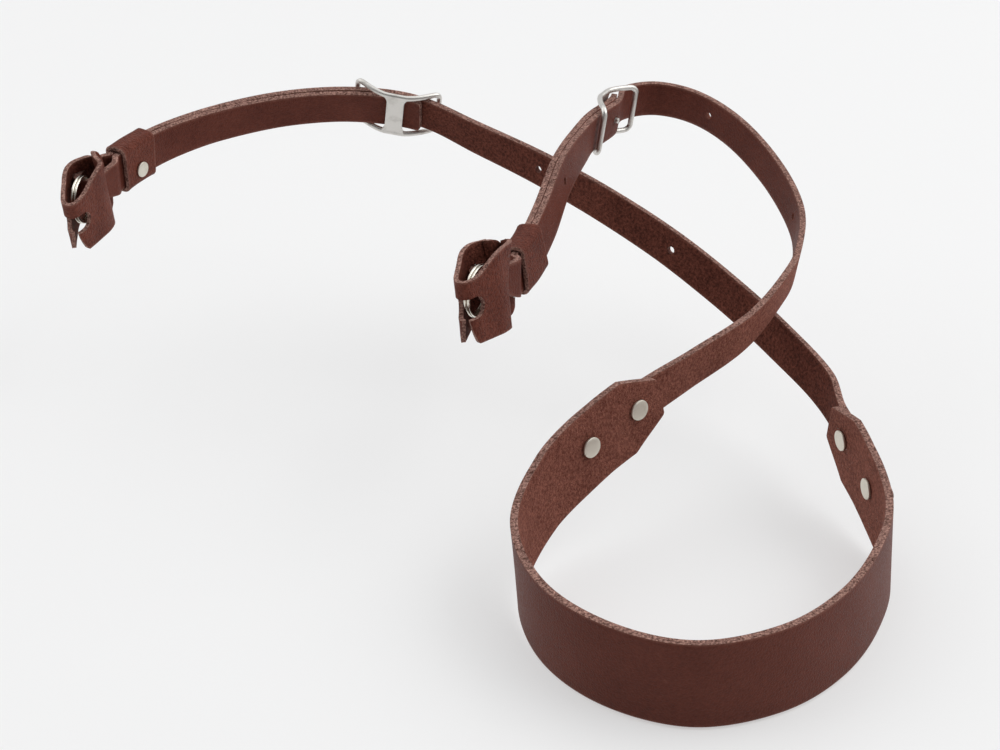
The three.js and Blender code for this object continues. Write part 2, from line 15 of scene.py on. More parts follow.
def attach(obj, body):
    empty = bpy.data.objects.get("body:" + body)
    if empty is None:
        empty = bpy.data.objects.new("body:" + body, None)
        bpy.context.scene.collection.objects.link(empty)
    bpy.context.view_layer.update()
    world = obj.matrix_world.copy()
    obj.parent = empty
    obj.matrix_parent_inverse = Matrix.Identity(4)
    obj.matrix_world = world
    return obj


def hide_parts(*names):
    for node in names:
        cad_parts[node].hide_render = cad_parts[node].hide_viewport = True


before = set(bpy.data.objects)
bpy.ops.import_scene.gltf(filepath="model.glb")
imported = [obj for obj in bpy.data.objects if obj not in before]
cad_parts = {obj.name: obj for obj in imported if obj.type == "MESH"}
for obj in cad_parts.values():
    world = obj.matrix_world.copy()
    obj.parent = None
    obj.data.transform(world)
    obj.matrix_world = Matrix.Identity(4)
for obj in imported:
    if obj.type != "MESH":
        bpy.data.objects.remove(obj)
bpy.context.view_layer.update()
MM = 0.001
print("solids loaded:", len(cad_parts))

# %% [markdown]
# ## Camera, floor and light
# The picture was taken from a little above, about half a metre in front of the strap, with a normal lens. The floor
# is a pale studio table lit a little from below, which keeps the shadows light. A big soft light stands
# on the right, a weaker one on the left and one hangs above. The room is dim on the photographer's side, so the
# front of the pad is the darkest part of the leather.

# %% Camera at the picture's view
def aim_camera():
    data = bpy.data.cameras.new("camera")
    data.sensor_width, data.lens = 36.0, 61.2
    data.clip_start, data.clip_end = 0.05, 20.0
    camera = bpy.data.objects.new("camera", data)
    camera.location = Vector((74, -469, 214)) * MM
    camera.rotation_euler = Euler((math.radians(62), 0, 0))
    bpy.context.collection.objects.link(camera)
    bpy.context.scene.camera = camera
    return camera


camera = aim_camera()
print("camera stands", round(camera.location.length, 3), "m from the origin")

# %% Pale floor and soft light
FLOOR_Z = -62.3


def pick_only(obj):
    bpy.ops.object.select_all(action="DESELECT")
    obj.select_set(True)
    bpy.context.view_layer.objects.active = obj


def area_light(name, place, size, watts, target=(80, 0, -20)):
    data = bpy.data.lights.new(name, "AREA")
    data.shape, data.size, data.size_y, data.energy = "RECTANGLE", size, size * 0.7, watts
    lamp = bpy.data.objects.new(name, data)
    lamp.location = Vector(place) * MM
    lamp.rotation_euler = (Vector(target) * MM - lamp.location).to_track_quat("-Z", "Y").to_euler()
    bpy.context.collection.objects.link(lamp)
    return lamp


bpy.ops.object.select_all(action="DESELECT")
bpy.ops.mesh.primitive_plane_add(size=12, location=(0, 0, FLOOR_Z * MM))
floor = bpy.context.object
floor.name = "floor"
floor_look = bpy.data.materials.new("floor")
floor_look.use_nodes = True
floor_shader = floor_look.node_tree.nodes["Principled BSDF"]
floor_shader.inputs["Base Color"].default_value = (0.42, 0.42, 0.42, 1)
floor_shader.inputs["Emission Color"].default_value = (1, 1, 1, 1)
floor_shader.inputs["Emission Strength"].default_value = 0.45
floor_shader.inputs["Roughness"].default_value = 0.55
floor_shader.inputs["Specular IOR Level"].default_value = 0.2
floor.data.materials.append(floor_look)

key = area_light("key", (1900, 100, 1500), 2.6, 30)
fill = area_light("fill", (-1900, 300, 1300), 2.0, 12)
top = area_light("top", (200, 300, 2300), 4.0, 26)
world = bpy.context.scene.world or bpy.data.worlds.new("world")
bpy.context.scene.world = world
world.use_nodes = True
sky_nodes, sky_links = world.node_tree.nodes, world.node_tree.links
sky = sky_nodes.get("Background") or sky_nodes.new("ShaderNodeBackground")
direction = sky_nodes.new("ShaderNodeTexCoord")
parts = sky_nodes.new("ShaderNodeSeparateXYZ")
depth = sky_nodes.new("ShaderNodeMapRange")
depth.inputs["From Min"].default_value = -1.0
depth.inputs["To Min"].default_value = 0.1
depth.inputs["To Max"].default_value = 0.75
sky_links.new(direction.outputs["Generated"], parts.inputs["Vector"])
sky_links.new(parts.outputs["Y"], depth.inputs["Value"])
sky_links.new(depth.outputs["Result"], sky.inputs["Strength"])
sky.inputs["Color"].default_value = (0.98, 0.99, 1.0, 1)
bpy.context.scene.view_settings.view_transform = "Standard"
print("lights:", key.name, fill.name, top.name)

# %% [markdown]
# ## The lines the leather follows
# Each strip of leather follows one smooth line. The line is given by a short table of stations: where the
# middle of the strip is, and how far its width leans off plumb. A Catmull-Rom curve goes through the stations,
# the same curve that the solids use, so a piece laid along it lands on its solid.

# %% Stations of the pad and the two straps
PAD_STATIONS = [
    (120.3, -33, -24.6, 4), (102.4, -48, -30.6, 5), (87, -64, -39, 5), (79, -85, -46, 5), (84, -108, -49, 3),
    (99, -127, -49, 1), (121, -136, -49, -1), (144, -130, -49, -3), (162, -115, -49, -5), (175, -94, -49, -5),
    (182, -72, -49, -4), (179, -49, -42, -3), (173, -28, -36, -5),
]
RIGHT_STATIONS = [
    (131, -21, -22, 5), (149, -6, -17, 9), (162, 14, -13, 10), (170, 36, -13, 8), (174, 60, -9, 5),
    (168, 81, 0, 1), (156, 100, 9, -3), (143, 114, 13, -7), (130, 120, 14, -9), (118, 112, 15, -9),
    (114, 94, 16, -8), (106, 79, 16, -7), (102, 67, 16, -1), (95, 45, 14, 8), (89, 23, 7, 10),
    (83, 4, 3, 8), (79, -5, 2, 6),
]
LEFT_STATIONS = [
    (173, -14, -33, 8), (162, 9, -28, 11), (147, 28, -20, 8), (128, 44, -10, 5), (108, 60, -2, 3),
    (87, 77, 4, -4), (66, 92, 9.2, -12), (45, 104.2, 14.8, -20), (23, 106, 17.2, -21), (-3, 104, 16.2, -20),
    (-25, 95, 14, -15), (-41, 82, 12, -9), (-50, 67, 11, -4), (-54, 59, 10, -4),
]
GAP = 0.3
PAD = {"width": 25.0, "thickness": 2.2, "end": 12.5, "taper": 13.0}
STRAP = {"width": 12.5, "thickness": 2.0, "overlap": 36.0, "neck": 8.0}
LAYER_STEP = STRAP["thickness"] + GAP
HALF_LAYERS = LAYER_STEP / 2
UP = Vector((0, 0, 1))


# %% A curve through stations, measured along its length
def catmull(points, t):
    last = len(points) - 1
    i = min(int(t * last), last - 1)
    w = t * last - i
    p1, p2 = points[i], points[i + 1]
    p0 = points[i - 1] if i > 0 else 2 * points[0] - points[1]
    p3 = points[i + 2] if i + 2 <= last else 2 * points[last] - points[last - 1]
    d0, d1, d2 = (np.sum((b - a) ** 2) ** 0.25 for a, b in ((p0, p1), (p1, p2), (p2, p3)))
    d1 = d1 if d1 > 1e-4 else 1.0
    d0 = d0 if d0 > 1e-4 else d1
    d2 = d2 if d2 > 1e-4 else d1
    m1 = ((p1 - p0) / d0 - (p2 - p0) / (d0 + d1) + (p2 - p1) / d1) * d1
    m2 = ((p2 - p1) / d1 - (p3 - p1) / (d1 + d2) + (p3 - p2) / d2) * d1
    c2 = -3 * p1 + 3 * p2 - 2 * m1 - m2
    c3 = 2 * p1 - 2 * p2 + m1 + m2
    return p1 + m1 * w + c2 * w ** 2 + c3 * w ** 3


class Section:
    """A place on a strip: where its middle is, the way it runs, its width and its face."""

    def __init__(self, place, along, across):
        self.place, self.along = place.copy(), along.normalized()
        self.across = (across - self.along * across.dot(self.along)).normalized()
        self.face = self.along.cross(self.across)

    def at(self, across, face=0.0):
        return self.place + self.across * across + self.face * face

    def moved(self, across, face=0.0):
        return Section(self.at(across, face), self.along, self.across)

    def reversed(self):
        return Section(self.place, -self.along, self.across)


class Route:
    """A smooth line through stations; section(s) is s millimetres from its start."""

    def __init__(self, stations, per_station=40):
        count = (len(stations) - 1) * per_station
        centres = [np.array(s[:3], float) for s in stations]
        leans = [np.array((s[3], 0.0, 0.0)) for s in stations]
        steps = np.linspace(0, 1, count + 1)
        self.points = np.array([catmull(centres, t) for t in steps])
        self.leans = np.array([catmull(leans, t)[0] for t in steps])
        runs = np.linalg.norm(np.diff(self.points, axis=0), axis=1)
        self.distance = np.concatenate([[0.0], np.cumsum(runs)])
        self.tangents = np.gradient(self.points, self.distance, axis=0)
        self.length = float(self.distance[-1])

    def pick(self, table, s):
        return Vector([float(np.interp(s, self.distance, table[:, k])) for k in range(3)])

    def section(self, s):
        s = min(max(s, 0.0), self.length)
        along = self.pick(self.tangents, s).normalized()
        plumb = Section(self.pick(self.points, s), along, UP)
        lean = math.radians(float(np.interp(s, self.distance, self.leans)))
        return Section(plumb.place, along, plumb.across * math.cos(lean) + plumb.face * math.sin(lean))


def strap_route(pad, from_start, stations):
    offset = (PAD["thickness"] + STRAP["thickness"]) / 2 + GAP
    on_pad = []
    for s in np.linspace(STRAP["overlap"], 2, 4):
        under = pad.section(s if from_start else pad.length - s)
        tilt = math.degrees(math.asin(-under.face.z))
        on_pad.append((*under.at(0, offset), -tilt if from_start else tilt))
    return Route(on_pad + stations)


pad_route = Route(PAD_STATIONS)
right_route = strap_route(pad_route, True, RIGHT_STATIONS)
left_route = strap_route(pad_route, False, LEFT_STATIONS)
for label, route in (("pad", pad_route), ("right strap", right_route), ("left strap", left_route)):
    print(label, "line:", round(route.length, 1), "mm")

# %% [markdown]
# ## Leather, made once as node groups
# Vegetable-tanned leather has three faces. The grain side is smooth with fine pores and slow changes of tone. The
# flesh side is mottled like suede. The cut edge is paler and shows packed fibres. Each effect is a node group, so
# that a pad and a strap can share it and set their own amounts.

# %% Small helpers for node groups
def new_group(name, inputs, outputs):
    tree = bpy.data.node_groups.new(name, "ShaderNodeTree")
    for label, kind, value in inputs:
        socket = tree.interface.new_socket(label, in_out="INPUT", socket_type=kind)
        if value is not None:
            socket.default_value = value
    for label, kind in outputs:
        tree.interface.new_socket(label, in_out="OUTPUT", socket_type=kind)
    enter = tree.nodes.new("NodeGroupInput")
    leave = tree.nodes.new("NodeGroupOutput")
    return tree, enter, leave


def add_node(tree, kind, **settings):
    node = tree.nodes.new(kind)
    for key_name, value in settings.items():
        setattr(node, key_name, value)
    return node


def maths(tree, operation, a, b=None, clamp=False):
    node = add_node(tree, "ShaderNodeMath", operation=operation, use_clamp=clamp)
    for socket, value in zip(node.inputs, (a, b)):
        if isinstance(value, (int, float)):
            socket.default_value = value
        elif value is not None:
            tree.links.new(value, socket)
    return node.outputs[0]


def blend_colours(tree, factor, first, second):
    node = add_node(tree, "ShaderNodeMix", data_type="RGBA")
    for socket, value in ((node.inputs[0], factor), (node.inputs[6], first), (node.inputs[7], second)):
        if isinstance(value, (int, float, tuple)):
            socket.default_value = value
        else:
            tree.links.new(value, socket)
    return node.outputs[2]


def ramp(tree, value, low, high):
    node = add_node(tree, "ShaderNodeMapRange", clamp=True)
    tree.links.new(value, node.inputs["Value"])
    node.inputs["From Min"].default_value = low
    node.inputs["From Max"].default_value = high
    return node.outputs["Result"]


def noise_node(tree, vector, scale, detail, roughness=0.55):
    node = add_node(tree, "ShaderNodeTexNoise")
    tree.links.new(vector, node.inputs["Vector"])
    node.inputs["Detail"].default_value = detail
    node.inputs["Roughness"].default_value = roughness
    if isinstance(scale, (int, float)):
        node.inputs["Scale"].default_value = scale
    else:
        tree.links.new(scale, node.inputs["Scale"])
    return node.outputs["Fac"]


# %% Grain: fine pebbles and pores
def make_grain():
    tree, enter, leave = new_group(
        "leather_grain",
        [("Vector", "NodeSocketVector", None), ("Pebble Scale", "NodeSocketFloat", 1100.0),
         ("Pore Scale", "NodeSocketFloat", 700.0)],
        [("Height", "NodeSocketFloat"), ("Pores", "NodeSocketFloat")],
    )
    vector = enter.outputs["Vector"]
    cells = add_node(tree, "ShaderNodeTexVoronoi", feature="DISTANCE_TO_EDGE")
    tree.links.new(vector, cells.inputs["Vector"])
    tree.links.new(enter.outputs["Pebble Scale"], cells.inputs["Scale"])
    pebbles = ramp(tree, cells.outputs["Distance"], 0.0, 0.22)
    soft = noise_node(tree, vector, enter.outputs["Pebble Scale"], 3.0)
    pore_noise = noise_node(tree, vector, enter.outputs["Pore Scale"], 2.0, 0.7)
    pores = ramp(tree, pore_noise, 0.60, 0.70)
    height = maths(tree, "ADD", maths(tree, "MULTIPLY", pebbles, 0.55), maths(tree, "MULTIPLY", soft, 0.45))
    tree.links.new(maths(tree, "SUBTRACT", height, maths(tree, "MULTIPLY", pores, 0.5)), leave.inputs["Height"])
    tree.links.new(pores, leave.inputs["Pores"])
    return tree


# %% Mottling: slow changes of tone, and specks like suede's
def make_mottle():
    tree, enter, leave = new_group(
        "leather_mottle",
        [("Vector", "NodeSocketVector", None), ("Dark", "NodeSocketColor", (0.05, 0.02, 0.016, 1)),
         ("Light", "NodeSocketColor", (0.12, 0.05, 0.04, 1)), ("Patch Scale", "NodeSocketFloat", 70.0),
         ("Speck Scale", "NodeSocketFloat", 900.0), ("Speck Amount", "NodeSocketFloat", 0.3)],
        [("Color", "NodeSocketColor"), ("Specks", "NodeSocketFloat")],
    )
    vector = enter.outputs["Vector"]
    patches = ramp(tree, noise_node(tree, vector, enter.outputs["Patch Scale"], 4.0), 0.3, 0.7)
    specks = ramp(tree, noise_node(tree, vector, enter.outputs["Speck Scale"], 3.0, 0.65), 0.36, 0.66)
    amount = enter.outputs["Speck Amount"]
    kept = maths(tree, "MULTIPLY", patches, maths(tree, "SUBTRACT", 1.0, amount))
    factor = maths(tree, "ADD", kept, maths(tree, "MULTIPLY", specks, amount), clamp=True)
    mixed = blend_colours(tree, factor, enter.outputs["Dark"], enter.outputs["Light"])
    tree.links.new(mixed, leave.inputs["Color"])
    tree.links.new(specks, leave.inputs["Specks"])
    return tree


# %% Rub: where the surface is worn paler along its edges, with small scuffs
def make_rub():
    tree, enter, leave = new_group(
        "leather_rub",
        [("Vector", "NodeSocketVector", None), ("Edge Distance", "NodeSocketFloat", 0.005),
         ("Width", "NodeSocketFloat", 0.0012), ("Scuffs", "NodeSocketFloat", 0.3)],
        [("Mask", "NodeSocketFloat")],
    )
    vector = enter.outputs["Vector"]
    ragged = maths(tree, "MULTIPLY", noise_node(tree, vector, 420.0, 4.0), 1.6)
    reach = maths(tree, "MULTIPLY", enter.outputs["Width"], ragged)
    near = maths(tree, "SUBTRACT", 1.0, maths(tree, "DIVIDE", enter.outputs["Edge Distance"], reach), clamp=True)
    flecks = ramp(tree, noise_node(tree, vector, 260.0, 6.0, 0.75), 0.62, 0.72)
    scuffed = maths(tree, "MULTIPLY", flecks, enter.outputs["Scuffs"])
    tree.links.new(maths(tree, "ADD", near, scuffed, clamp=True), leave.inputs["Mask"])
    return tree


GRAIN, MOTTLE, RUB = make_grain(), make_mottle(), make_rub()
print("shared groups:", GRAIN.name, MOTTLE.name, RUB.name)


# %% Grain, flesh and cut edge as materials
def leather(name, dark, light, patch, speck, amount, pebble, bump, rough, rub=0.0, pale=(0.25, 0.13, 0.11, 1),
            spread=0.0012, scuffs=0.3, specular=0.35):
    look = bpy.data.materials.new(name)
    look.use_nodes = True
    tree = look.node_tree
    shader = tree.nodes["Principled BSDF"]
    where = add_node(tree, "ShaderNodeTexCoord")
    vector = where.outputs["Object"]

    mottle = add_node(tree, "ShaderNodeGroup", node_tree=MOTTLE)
    mottle.inputs["Dark"].default_value = dark
    mottle.inputs["Light"].default_value = light
    mottle.inputs["Patch Scale"].default_value = patch
    mottle.inputs["Speck Scale"].default_value = speck
    mottle.inputs["Speck Amount"].default_value = amount
    grain = add_node(tree, "ShaderNodeGroup", node_tree=GRAIN)
    grain.inputs["Pebble Scale"].default_value = pebble
    for node in (mottle, grain):
        tree.links.new(vector, node.inputs["Vector"])

    colour = mottle.outputs["Color"]
    if rub > 0:
        wear = add_node(tree, "ShaderNodeGroup", node_tree=RUB)
        wear.inputs["Width"].default_value = spread
        wear.inputs["Scuffs"].default_value = scuffs
        tree.links.new(vector, wear.inputs["Vector"])
        edge = add_node(tree, "ShaderNodeAttribute", attribute_name="edge")
        tree.links.new(edge.outputs["Fac"], wear.inputs["Edge Distance"])
        colour = blend_colours(tree, maths(tree, "MULTIPLY", wear.outputs["Mask"], rub), colour, pale)
    dent = blend_colours(tree, maths(tree, "MULTIPLY", grain.outputs["Pores"], 0.35), colour, dark)
    tree.links.new(dent, shader.inputs["Base Color"])

    relief = add_node(tree, "ShaderNodeBump")
    relief.inputs["Strength"].default_value = bump
    relief.inputs["Distance"].default_value = 0.00035
    tree.links.new(grain.outputs["Height"], relief.inputs["Height"])
    tree.links.new(relief.outputs["Normal"], shader.inputs["Normal"])
    change = maths(tree, "MULTIPLY", mottle.outputs["Specks"], 0.14)
    tree.links.new(maths(tree, "ADD", change, rough - 0.07), shader.inputs["Roughness"])
    shader.inputs["Specular IOR Level"].default_value = specular
    return look


def tone(red, green, blue):
    """A colour as seen on screen, from 0 to 255, turned into light."""
    return tuple(((c / 255 + 0.055) / 1.055) ** 2.4 for c in (red, green, blue)) + (1,)


PALE = tone(150, 106, 94)
grain_look = leather("leather_grain_side", tone(80, 37, 28), tone(110, 59, 47), 70.0, 1000.0, 0.5, 1100.0, 0.55,
                     0.54, rub=0.4, pale=PALE, specular=0.1)
pad_look = leather("leather_pad_front", tone(82, 39, 29), tone(104, 55, 44), 50.0, 1000.0, 0.5, 1100.0, 0.4,
                   0.5, rub=0.35, pale=PALE, spread=0.0009, specular=0.12)
flesh_look = leather("leather_flesh_side", tone(64, 29, 21), tone(122, 70, 57), 90.0, 1150.0, 0.8, 1300.0, 0.8,
                     0.8, rub=0.3, pale=PALE, specular=0.08)
# A paler copy of the flesh finish, for the pad's inner face and the right strap's flesh face: partly the flesh's own
# lighter tone, partly painted light from the right-hand lamp and bounce from the floor.
flesh_painted_light_look = leather("leather_flesh_paler_painted_light", tone(92, 48, 38), tone(156, 100, 85), 60.0, 1150.0, 0.7, 1300.0, 0.8,
                      0.8, rub=0.3, pale=PALE, specular=0.08)
edge_look = leather("leather_cut_edge", tone(62, 29, 21), tone(205, 160, 146), 300.0, 1500.0, 0.8, 1600.0, 1.0,
                    0.8, specular=0.1)
guard_look = leather("leather_guard_side", tone(76, 34, 25), tone(122, 68, 55), 70.0, 900.0, 0.55, 800.0, 0.9,
                     0.55, rub=0.4, pale=PALE, spread=0.001, specular=0.1)
LEATHERS = (grain_look, flesh_look, edge_look)
print("leather finishes:", [look.name for look in (grain_look, pad_look, flesh_look, flesh_painted_light_look, edge_look, guard_look)])

# %% [markdown]
# ## Plated metal
# The buckles are cast, tumbled and satin nickel-plated, so their shine is broad and a little uneven. The rings are
# drawn wire and brighter. The rivet caps are polished, with fine turning marks and handling scratches. One group
# makes the unevenness, and each material sets how much of it shows.

# %% Satin wear as a group, and the metal materials
def make_satin():
    tree, enter, leave = new_group(
        "satin_wear",
        [("Vector", "NodeSocketVector", None), ("Roughness", "NodeSocketFloat", 0.3),
         ("Cloud Scale", "NodeSocketFloat", 220.0), ("Scratch Scale", "NodeSocketFloat", 2600.0)],
        [("Roughness", "NodeSocketFloat"), ("Height", "NodeSocketFloat"), ("Tarnish", "NodeSocketFloat")],
    )
    vector = enter.outputs["Vector"]
    clouds = noise_node(tree, vector, enter.outputs["Cloud Scale"], 5.0, 0.6)
    scratches = noise_node(tree, vector, enter.outputs["Scratch Scale"], 3.0, 0.7)
    change = maths(tree, "MULTIPLY", maths(tree, "SUBTRACT", clouds, 0.5), 0.3)
    rough = maths(tree, "ADD", enter.outputs["Roughness"], change, clamp=True)
    tree.links.new(rough, leave.inputs["Roughness"])
    tree.links.new(scratches, leave.inputs["Height"])
    tree.links.new(ramp(tree, clouds, 0.52, 0.75), leave.inputs["Tarnish"])
    return tree


SATIN = make_satin()


def metal(name, bright, dull, rough, bump):
    look = bpy.data.materials.new(name)
    look.use_nodes = True
    tree = look.node_tree
    shader = tree.nodes["Principled BSDF"]
    shader.inputs["Metallic"].default_value = 1.0
    where = add_node(tree, "ShaderNodeTexCoord")
    wear = add_node(tree, "ShaderNodeGroup", node_tree=SATIN)
    wear.inputs["Roughness"].default_value = rough
    tree.links.new(where.outputs["Object"], wear.inputs["Vector"])
    tree.links.new(wear.outputs["Roughness"], shader.inputs["Roughness"])
    tree.links.new(blend_colours(tree, wear.outputs["Tarnish"], bright, dull), shader.inputs["Base Color"])
    relief = add_node(tree, "ShaderNodeBump")
    relief.inputs["Strength"].default_value = bump
    relief.inputs["Distance"].default_value = 0.00004
    tree.links.new(wear.outputs["Height"], relief.inputs["Height"])
    tree.links.new(relief.outputs["Normal"], shader.inputs["Normal"])
    return look


buckle_metal = metal("satin_nickel", tone(214, 211, 206), tone(188, 184, 178), 0.4, 0.3)
rivet_metal = metal("polished_nickel", tone(222, 217, 205), tone(206, 200, 186), 0.5, 0.15)
ring_metal = metal("bright_wire", tone(226, 221, 210), tone(200, 190, 172), 0.2, 0.1)
print("metals:", buckle_metal.name, rivet_metal.name, ring_metal.name)

# %% [markdown]
# ## Cutting and laying a strip
# Every leather piece starts as a flat grid, as a strip starts as a flat cut on the bench. Its points are then laid
# along the piece's line, the Solidify modifier gives it its thickness, and Bevel breaks its edges. Solidify also
# gives each side its own material: grain outside, flesh inside, and the pale cut edge round the rim.

# %% A strip of leather
def lay_strip(name, stations, halves, rows, look, closed=False):
    """A grid laid across the given sections; halves holds (lower, upper) edges of the width at each section."""
    bpy.ops.object.select_all(action="DESELECT")
    bpy.ops.mesh.primitive_grid_add(x_subdivisions=len(stations) - 1, y_subdivisions=rows, size=1)
    obj = bpy.context.object
    obj.name = obj.data.name = name
    edge = obj.data.attributes.new("edge", "FLOAT", "POINT")
    for i, vertex in enumerate(obj.data.vertices):
        u = round((vertex.co.x + 0.5) * (len(stations) - 1))
        v = vertex.co.y + 0.5
        low, high = halves[u]
        across = low + (high - low) * v
        end = min(u, len(stations) - 1 - u) * 1.5 if not closed else 99.0
        edge.data[i].value = min(across - low, high - across, end) * MM
        vertex.co = stations[u].at(across) * MM
    for material in look:
        obj.data.materials.append(material)
    return obj


def apply_modifier(obj, kind, **settings):
    pick_only(obj)
    modifier = obj.modifiers.new(kind.lower(), kind)
    for key_name, value in settings.items():
        setattr(modifier, key_name, value)
    bpy.ops.object.modifier_apply(modifier=modifier.name)


def thicken(obj, thickness, bevel=0.3, segments=2, offset=0.0, closed=False):
    if closed:
        pick_only(obj)
        bpy.ops.object.mode_set(mode="EDIT")
        bpy.ops.mesh.select_all(action="SELECT")
        bpy.ops.mesh.remove_doubles(threshold=0.00002)
        bpy.ops.mesh.normals_make_consistent(inside=False)
        bpy.ops.object.mode_set(mode="OBJECT")
    apply_modifier(obj, "SOLIDIFY", thickness=thickness * MM, offset=offset, material_offset=1,
                   material_offset_rim=2, use_even_offset=True)
    apply_modifier(obj, "BEVEL", width=bevel * MM, segments=segments, limit_method="ANGLE",
                   angle_limit=math.radians(50), harden_normals=False)


def smooth_finish(obj, degrees=40):
    pick_only(obj)
    bpy.ops.object.shade_smooth_by_angle(angle=math.radians(degrees))


def cut_with(obj, cutters):
    for cutter in cutters:
        apply_modifier(obj, "BOOLEAN", operation="DIFFERENCE", solver="EXACT", object=cutter)
        bpy.data.objects.remove(cutter, do_unlink=True)


def hand_over(obj, node):
    """The piece rides with the solids and stands in for its own solid, which is hidden."""
    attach(obj, "root")
    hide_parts(node)
    print(obj.name, "has", len(obj.data.polygons), "faces")


def turn_to(section):
    return Matrix((
        (*section.along[:], 0), (*section.across[:], 0), (*section.face[:], 0), (*(section.place * MM)[:], 1),
    )).transposed()


def place_on(obj, section):
    """Lays a piece that was modelled flat at the origin onto a section: its X along, Y across, Z out of the face."""
    obj.data.transform(turn_to(section) @ obj.matrix_world)
    obj.matrix_world = Matrix.Identity(4)


def punch(section, radius, depth=14.0, sides=28):
    bpy.ops.object.select_all(action="DESELECT")
    bpy.ops.mesh.primitive_cylinder_add(vertices=sides, radius=radius * MM, depth=depth * MM)
    tool = bpy.context.object
    place_on(tool, section)
    return tool


def wobble(s, seed, reach):
    """A slow, small unevenness along a strip, so that no edge is ruler-straight."""
    return reach * noise.noise(Vector((s / 23.0, seed * 7.3, 0.4)))


print("strip tools ready")

# %% [markdown]
# ## The shoulder pad
# The pad is one piece of 2.2 mm leather, 25 mm wide, that narrows to the straps' width over its last 13 mm. It stands
# on its edge in a U. The grid has enough rows for its long edges to wander a little and for its face to cup.

# %% Cut and lay the pad
def pad_half_width(s):
    from_end = min(s, pad_route.length - s)
    share = min(1.0, max(0.0, from_end / PAD["taper"]))
    half = (PAD["end"] + (PAD["width"] - PAD["end"]) * share) / 2
    corner = max(0.0, 0.8 - from_end)
    return half - (0.8 - math.sqrt(max(0.0, 0.64 - corner ** 2)))


def even_steps(start, stop, step):
    return list(np.linspace(start, stop, max(1, round(abs(stop - start) / step)) + 1))


def dished(section, s, rivets, depth=0.18):
    """A section shifted towards the strap where a rivet pulls the leather in."""
    pull = sum(math.exp(-((s - r) / 4.2) ** 2) for r in rivets)
    return section.moved(0, depth * pull)


RIVET_FROM_END = (9.0, 28.5)
RIVET_RAISED = 1.0
pad_stops = [0, 0.15, 0.4, 0.8] + even_steps(1.8, pad_route.length - 1.8, 1.6)
pad_stops += [pad_route.length - d for d in (0.8, 0.4, 0.15, 0)]
rivet_stops = RIVET_FROM_END + tuple(pad_route.length - r for r in RIVET_FROM_END)
pad_sections = [dished(pad_route.section(s), s, rivet_stops, 0.08) for s in pad_stops]
pad_edges = [(-pad_half_width(s) + wobble(s, 1, 0.12), pad_half_width(s) + wobble(s, 2, 0.25)) for s in pad_stops]
# The pad's inner face takes the paler flesh copy, which is partly painted light.
pad = lay_strip("shoulder_pad_leather", pad_sections, pad_edges, 16, (pad_look, flesh_painted_light_look, edge_look))
thicken(pad, PAD["thickness"], bevel=0.32)
cut_with(pad, [punch(pad_route.section(s).moved(RIVET_RAISED), 1.5) for s in rivet_stops])
smooth_finish(pad)
hand_over(pad, "shoulder_pad")

# %% [markdown]
# ## The two straps
# Each strap is one long strip. It starts on the pad's outer face, runs to its keeper, opens into a loop round the
# split ring, and comes back on itself to the buckle. In the loop it narrows to pass through the ring guard's slits.
# One grid makes it all, so the grain and the thickness run on without a join.

# %% What each strap carries, measured back from the keeper's mouth
RIGHT = {"name": "right", "side": 1, "keeper": 1.0, "prong": 104.5, "turn": 0, "holes": (50, 163, 220), "back": 114.0,
         "wire": Vector((70, -20, 6)), "heading": -111, "ring": (-117, 6),
         "guard": {"tip": -14.0, "corner": 8.5, "left": 10.4, "right": 10.8, "fall": 0.0, "ease": 1.35}}
LEFT = {"name": "left", "side": -1, "keeper": 1.0, "prong": 112.1, "turn": -2, "holes": (172, 229), "back": 122.0,
        "wire": Vector((-59, 45, 9.5)), "heading": -97, "ring": (-103, 18),
        "guard": {"tip": -8.6, "corner": 4.5, "left": 8.0, "right": 10.5, "fall": 0.3, "ease": 1.0}}
RIGHT["route"], LEFT["route"] = right_route, left_route
LOOP = {"spread": 4.5, "half_gap": 3.5}


def smoothstep(t):
    t = min(1.0, max(0.0, t))
    return t * t * (3 - 2 * t)


def mix(a, b, t):
    return a + (b - a) * t


# %% The middle line of a loop, from the keeper's mouth past the ring's wire
class LoopAxis:
    def __init__(self, end):
        mouth = end["route"].section(end["route"].length)
        self.side, self.mouth = end["side"], mouth
        self.start = mouth.at(0, self.side * HALF_LAYERS)
        turn = math.radians(end["heading"])
        self.turned = Vector((math.cos(turn), math.sin(turn), 0))
        self.wire_place = end["wire"]
        reach = (self.wire_place - self.start).length / 3
        self.handles = (self.start, self.start + mouth.along * reach, self.wire_place - self.turned * reach,
                        self.wire_place)
        self.samples = [self.bezier(i / 200) for i in range(201)]
        runs = [(b - a).length for a, b in zip(self.samples, self.samples[1:])]
        self.distance = np.concatenate([[0.0], np.cumsum(runs)])
        self.wire = float(self.distance[-1])

    def bezier(self, t):
        a, b, c, d = self.handles
        return a * (1 - t) ** 3 + b * 3 * t * (1 - t) ** 2 + c * 3 * t * t * (1 - t) + d * t ** 3

    def section(self, p):
        if p > self.wire:
            return Section(self.wire_place + self.turned * (p - self.wire), self.turned, self.mouth.across)
        t = float(np.interp(p, self.distance, np.linspace(0, 1, 201)))
        near, far = self.bezier(max(0.0, t - 0.002)), self.bezier(min(1.0, t + 0.002))
        return Section(self.bezier(t), far - near, self.mouth.across)

    def beside(self, p, q, slope=0.0):
        s = self.section(p)
        place = s.at(0, self.side * q)
        return Section(place, s.along + s.face * (self.side * slope), s.across)


def half_gap(p):
    return mix(HALF_LAYERS, LOOP["half_gap"], smoothstep(p / LOOP["spread"]))


def neck_half(p):
    return mix(STRAP["width"], STRAP["neck"], min(1.0, max(0.0, (p - 2) / 12))) / 2


